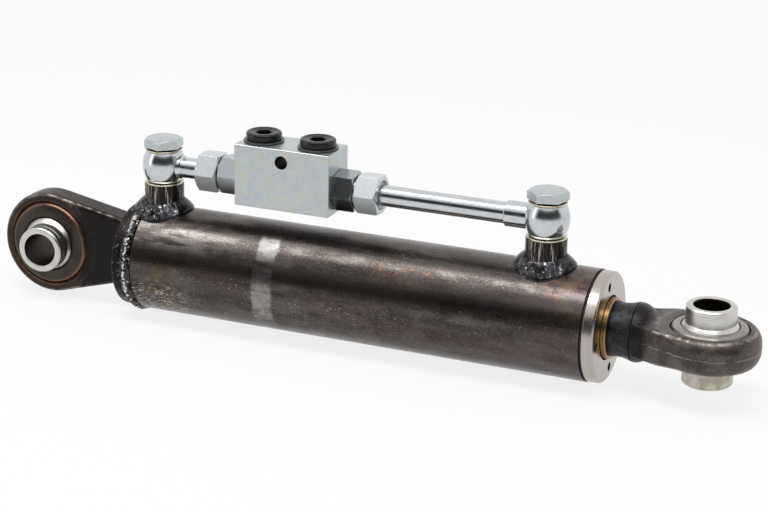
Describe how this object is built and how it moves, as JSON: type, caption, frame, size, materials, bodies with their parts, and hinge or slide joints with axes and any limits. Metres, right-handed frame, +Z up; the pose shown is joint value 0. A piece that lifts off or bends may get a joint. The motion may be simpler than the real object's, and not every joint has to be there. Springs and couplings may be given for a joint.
{
  "type": "hydraulic tractor top link",
  "caption": "Hydraulic three-point top link: a double-acting cylinder with a ball eye at each end and a piped, pilot-operated double check valve block on its back.",
  "frame": {"origin": "centre of the base ball, where the tractor's or implement's top link pin passes", "axes": "+X along the cylinder to the rod eye, +Z up through the oil ports and the valve block, -Y towards the viewer of the picture"},
  "size_m": [0.4581, 0.0644, 0.1167],
  "materials": {
    "raw_tube": "raw drawn steel, oiled, with lengthwise streaks and scuffs",
    "forged_base": "dark forged steel with worn brown edges",
    "forged_eye": "forged steel, brown-grey, finely pitted",
    "bearing_ring": "heat-tinted turned steel",
    "race_steel": "satin turned steel",
    "ball_steel": "bright plated steel",
    "weld_metal": "rippled weld bead with silvery crests",
    "weld_neck": "satin black scale",
    "turned_steel": "satin turned steel",
    "chromed_rod": "hard chrome, ground",
    "wiper_bronze": "satin bronze",
    "black_boss": "blackened turned steel",
    "soft_washer": "soft pale metal washer",
    "polished_zinc": "bright zinc plate",
    "zinc_steel": "satin zinc plate",
    "zinc_block": "zinc plate with a faint blue and yellow mottle",
    "hard_steel": "ground hardened steel",
    "spring_steel": "drawn spring wire",
    "black_rubber": "black rubber",
    "seal_plastic": "blue polyurethane",
    "guide_plastic": "tan guide strip",
    "plug_plastic": "glossy black plastic",
    "seal_washer": "dark greenish rubber"
  },
  "bodies": {
    "barrel": {"barrel_tube": "raw_tube", "base_end": "forged_base", "base_weld": "weld_metal", "base_race": "bearing_ring", "gland": "turned_steel", "flange_ring": "black_rubber", "gland_o_ring": "black_rubber", "rod_seal": "seal_plastic", "rod_guide_ring": "guide_plastic", "wiper_ring": "wiper_bronze", "port_boss_base": "black_boss", "port_boss_rod": "black_boss", "port_weld_base": "weld_metal", "port_weld_rod": "weld_metal", "lower_washer_base": "soft_washer", "lower_washer_rod": "soft_washer", "upper_washer_base": "soft_washer", "upper_washer_rod": "soft_washer", "banjo_body_base": "polished_zinc", "banjo_body_rod": "polished_zinc", "banjo_bolt_base": "zinc_steel", "banjo_bolt_rod": "zinc_steel", "oil_pipe": "polished_zinc", "adapter_base": "zinc_steel", "adapter_rod": "zinc_steel", "union_nut_base": "zinc_steel", "union_nut_rod": "zinc_steel", "cutting_ring_base": "zinc_steel", "cutting_ring_rod": "zinc_steel", "valve_block": "zinc_block", "valve_seat_base": "hard_steel", "valve_seat_rod": "hard_steel", "poppet_spring_base": "spring_steel", "poppet_spring_rod": "spring_steel", "plug_seal_base": "seal_washer", "plug_seal_rod": "seal_washer"},
    "piston_rings": {"piston_seal": "seal_plastic", "piston_guide_base": "guide_plastic", "piston_guide_rod": "guide_plastic"},
    "rod": {"piston_rod": "chromed_rod", "piston": "turned_steel", "piston_nut": "zinc_steel", "rod_weld": "weld_neck", "rod_eye": "forged_eye", "rod_race": "race_steel"},
    "base_ball": {"base_ball": "ball_steel"},
    "rod_ball": {"rod_ball": "ball_steel"},
    "pilot": {"pilot_piston": "hard_steel"},
    "poppet_base": {"check_poppet_base": "hard_steel"},
    "poppet_rod": {"check_poppet_rod": "hard_steel"},
    "plug_base": {"port_plug_base": "plug_plastic"},
    "plug_rod": {"port_plug_rod": "plug_plastic"}
  },
  "joints": [
    {"name": "rod_slide", "type": "slide", "parent": "barrel", "child": "piston_rings", "axis": [1, 0, 0], "range_m": [0, 0.19]},
    {"name": "rod_turn", "type": "hinge", "parent": "piston_rings", "child": "rod", "pos_m": [0.2, 0, 0], "axis": [1, 0, 0], "continuous": true},
    {"name": "base_ball_swivel", "type": "hinge", "parent": "barrel", "child": "base_ball", "pos_m": [0, 0, 0], "axis": [0, 0, 1], "range_deg": [-15.8, 6.2]},
    {"name": "rod_ball_swivel", "type": "hinge", "parent": "rod", "child": "rod_ball", "pos_m": [0.4, 0, 0], "axis": [0, 1, 0], "range_deg": [-8, 8]},
    {"name": "pilot_slide", "type": "slide", "parent": "barrel", "child": "pilot", "axis": [1, 0, 0], "range_m": [-0.002, 0.002]},
    {"name": "base_poppet_lift", "type": "slide", "parent": "barrel", "child": "poppet_base", "axis": [-1, 0, 0], "range_m": [0, 0.002], "stiffness_N_per_m": 400, "deforming": ["poppet_spring_base"]},
    {"name": "rod_poppet_lift", "type": "slide", "parent": "barrel", "child": "poppet_rod", "axis": [1, 0, 0], "range_m": [0, 0.002], "stiffness_N_per_m": 400, "deforming": ["poppet_spring_rod"]},
    {"name": "base_plug_lift", "type": "slide", "parent": "barrel", "child": "plug_base", "axis": [0, 0, 1], "range_m": [0, 0.014]},
    {"name": "rod_plug_lift", "type": "slide", "parent": "barrel", "child": "plug_rod", "axis": [0, 0, 1], "range_m": [0, 0.014]}
  ]
}
